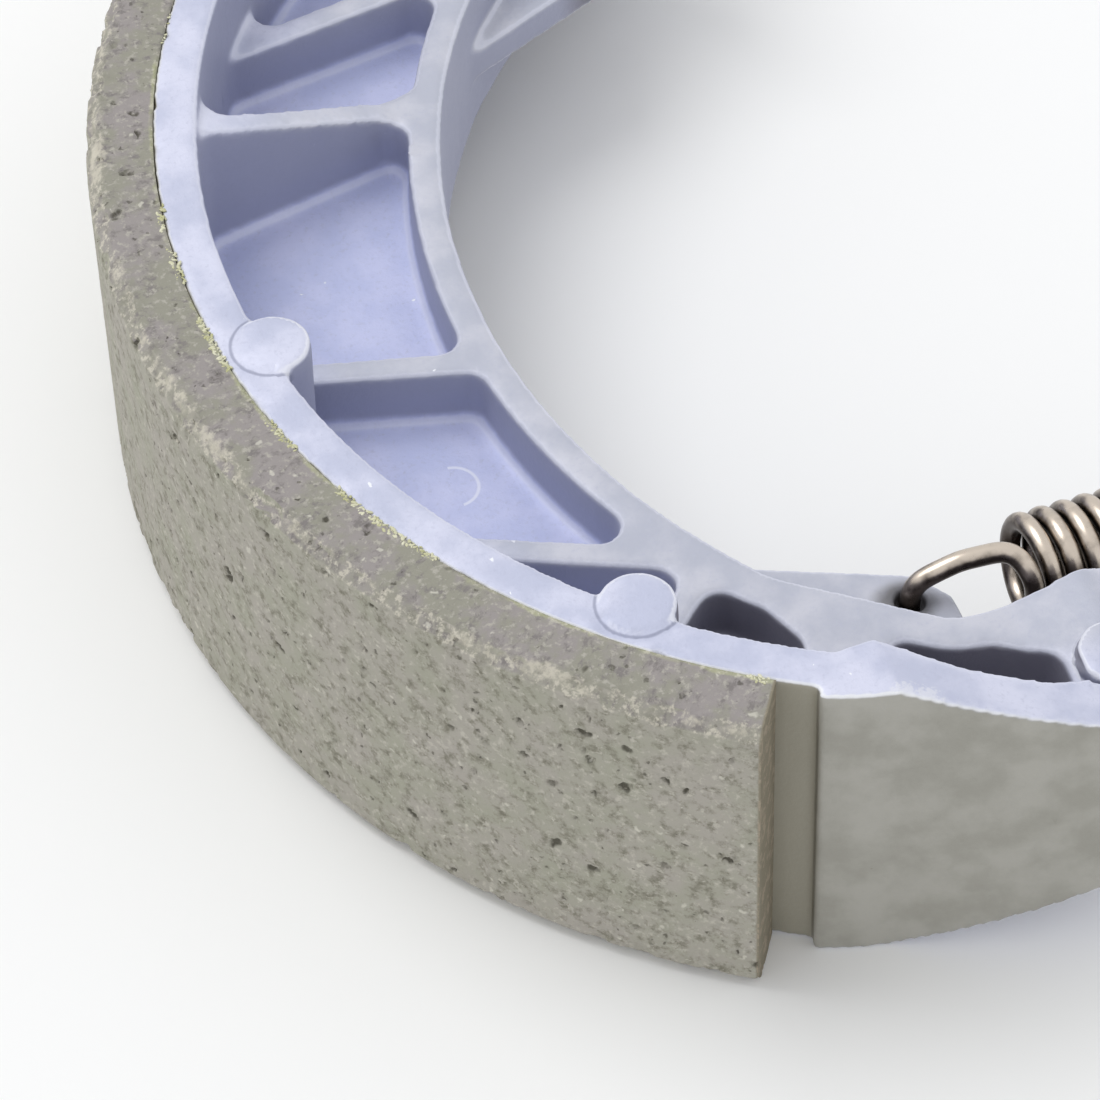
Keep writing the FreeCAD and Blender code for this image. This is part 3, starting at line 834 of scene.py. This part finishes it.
# %% Spring hook corners
hole = Vector((-15.7, -36.9, middle_height))
coil_radius = 3.5
coil_pitch = 1.76
coil_turns = 7.5
coil_y = -35.9
coil_start = -coil_turns * coil_pitch / 2
entry = Vector((coil_start, coil_y - coil_radius, middle_height))
span = entry - hole
arch = 4.4
tip = 4.1
rise = 0.9 * coil_radius
lean = coil_pitch / (2 * math.pi * coil_radius)
hook_corners = [
    hole + Vector((0.54 * span.x, 0, -0.9 * tip)), hole + Vector((0.38 * span.x, 0, -tip)),
    hole + Vector((0, 0, -0.65 * tip)), hole + Vector((0, 0, 0.75 * arch)),
    hole + Vector((0.42 * span.x, 0, arch)), hole + Vector((0.88 * span.x, 0.1 * span.y, arch)),
    entry + Vector((-lean * rise, 0, rise)), entry,
]
print("hook corners", len(hook_corners))

# %% [markdown]
# The corners are rounded and the coil is added turn by turn. The far hook is the near one turned half round.
# A few rounds of averaging take the last kinks out of the line, as a bent wire has none.

# %% Spring middle line
def rounded_line(corners, radius):
    line = [corners[0]]
    for before, corner, after in zip(corners, corners[1:], corners[2:]):
        back = (before - corner).normalized()
        forth = (after - corner).normalized()
        half_turn = (math.pi - back.angle(forth)) / 2
        shorter = min((before - corner).length, (after - corner).length)
        setback = min(radius * math.tan(half_turn), 0.48 * shorter)
        start, end = corner + back * setback, corner + forth * setback
        line += [start.lerp(corner, s).lerp(corner.lerp(end, s), s) for s in np.linspace(0, 1, 9)]
    return line + [corners[-1]]


def even_line(points, step):
    array = np.array([list(point) for point in points])
    reach = np.concatenate([[0], np.cumsum(np.linalg.norm(np.diff(array, axis=0), axis=1))])
    marks = np.linspace(0, reach[-1], int(reach[-1] / step) + 1)
    return np.stack([np.interp(marks, reach, array[:, axis]) for axis in range(3)], axis=1)


bend_radius = 2.0
points_a_turn = 40
line_step = 0.35
smoothing_rounds = 4
hook = rounded_line(hook_corners, bend_radius)
coil = []
for part_turn in np.linspace(0, coil_turns, int(coil_turns * points_a_turn) + 1)[1:-1]:
    wound = 2 * math.pi * part_turn
    coil_place_y = coil_y - coil_radius * math.cos(wound)
    coil_place_z = middle_height - coil_radius * math.sin(wound)
    coil.append(Vector((coil_start + part_turn * coil_pitch, coil_place_y, coil_place_z)))
far_hook = [Vector((-point.x, 2 * coil_y - point.y, point.z)) for point in reversed(hook)]
middle = even_line(hook + coil + far_hook, line_step)
for _ in range(smoothing_rounds):
    middle[1:-1] = 0.25 * middle[:-2] + 0.5 * middle[1:-1] + 0.25 * middle[2:]
print("spring wire points", len(middle))

# %% [markdown]
# A poly curve carries the middle line into the node tree, which needs only a circle for the section.

# %% Spring wire
spring_curve = bpy.data.curves.new("spring_line", "CURVE")
spring_curve.dimensions = "3D"
spline = spring_curve.splines.new("POLY")
spline.points.add(len(middle) - 1)
for target, point in zip(spline.points, middle * millimetre):
    target.co = (*point, 1.0)

wire_sizes = {"Wire Radius": 0.8 * millimetre, "Sides": 16}
wire_tree, size = shape_tree("round_wire", wire_sizes)
t = wire_tree
circle = add_node(t, "GeometryNodeCurvePrimitiveCircle", mode="RADIUS")
t.links.new(size["Wire Radius"], circle.inputs["Radius"])
t.links.new(size["Sides"], circle.inputs["Resolution"])
wire_sweep = add_node(t, "GeometryNodeCurveToMesh")
t.links.new(size["Geometry"], wire_sweep.inputs["Curve"])
t.links.new(circle.outputs["Curve"], wire_sweep.inputs["Profile Curve"])
wire_sweep.inputs["Fill Caps"].default_value = True
finish_tree(t, wire_sweep.outputs[0], size["Finish"])
print("wire nodes", len(t.nodes))

# %% [markdown]
# Drawn spring wire is dark steel with a bronze tint.
# Its colour holds a painted shade underneath and a painted highlight on top, made uneven by a noise.

# %% Spring finish
shaded_spring_steel, tree, shader = new_finish("spring_steel_painted_light")
at = shoe_places(tree)
uneven = calc(tree, "SUBTRACT", mottle(tree, at["mm"], 0.7, 3.0), 0.5)
# painted highlight on top and painted shade underneath, set by the normal's height
wear_and_top_light = calc(tree, "MULTIPLY_ADD", uneven, 1.2, at["facing_up"])
top_light_and_under_shade = two_tones(tree, ramp_up(tree, wear_and_top_light, 0.2, 0.95), (84, 75, 68), (204, 192, 178))
tree.links.new(top_light_and_under_shade, shader.inputs["Base Color"])
shader.inputs["Metallic"].default_value = 1.0
oil_sheen = calc(tree, "MULTIPLY_ADD", mottle(tree, at["mm"], 2.0), 0.2, 0.2)
tree.links.new(oil_sheen, shader.inputs["Roughness"])
spring = grown_piece("spring_wire", wire_tree, wire_sizes, shaded_spring_steel, spring_curve)
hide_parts("return_spring")
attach(spring, "root")
print("spring size in mm", [round(value / millimetre, 1) for value in spring.dimensions])
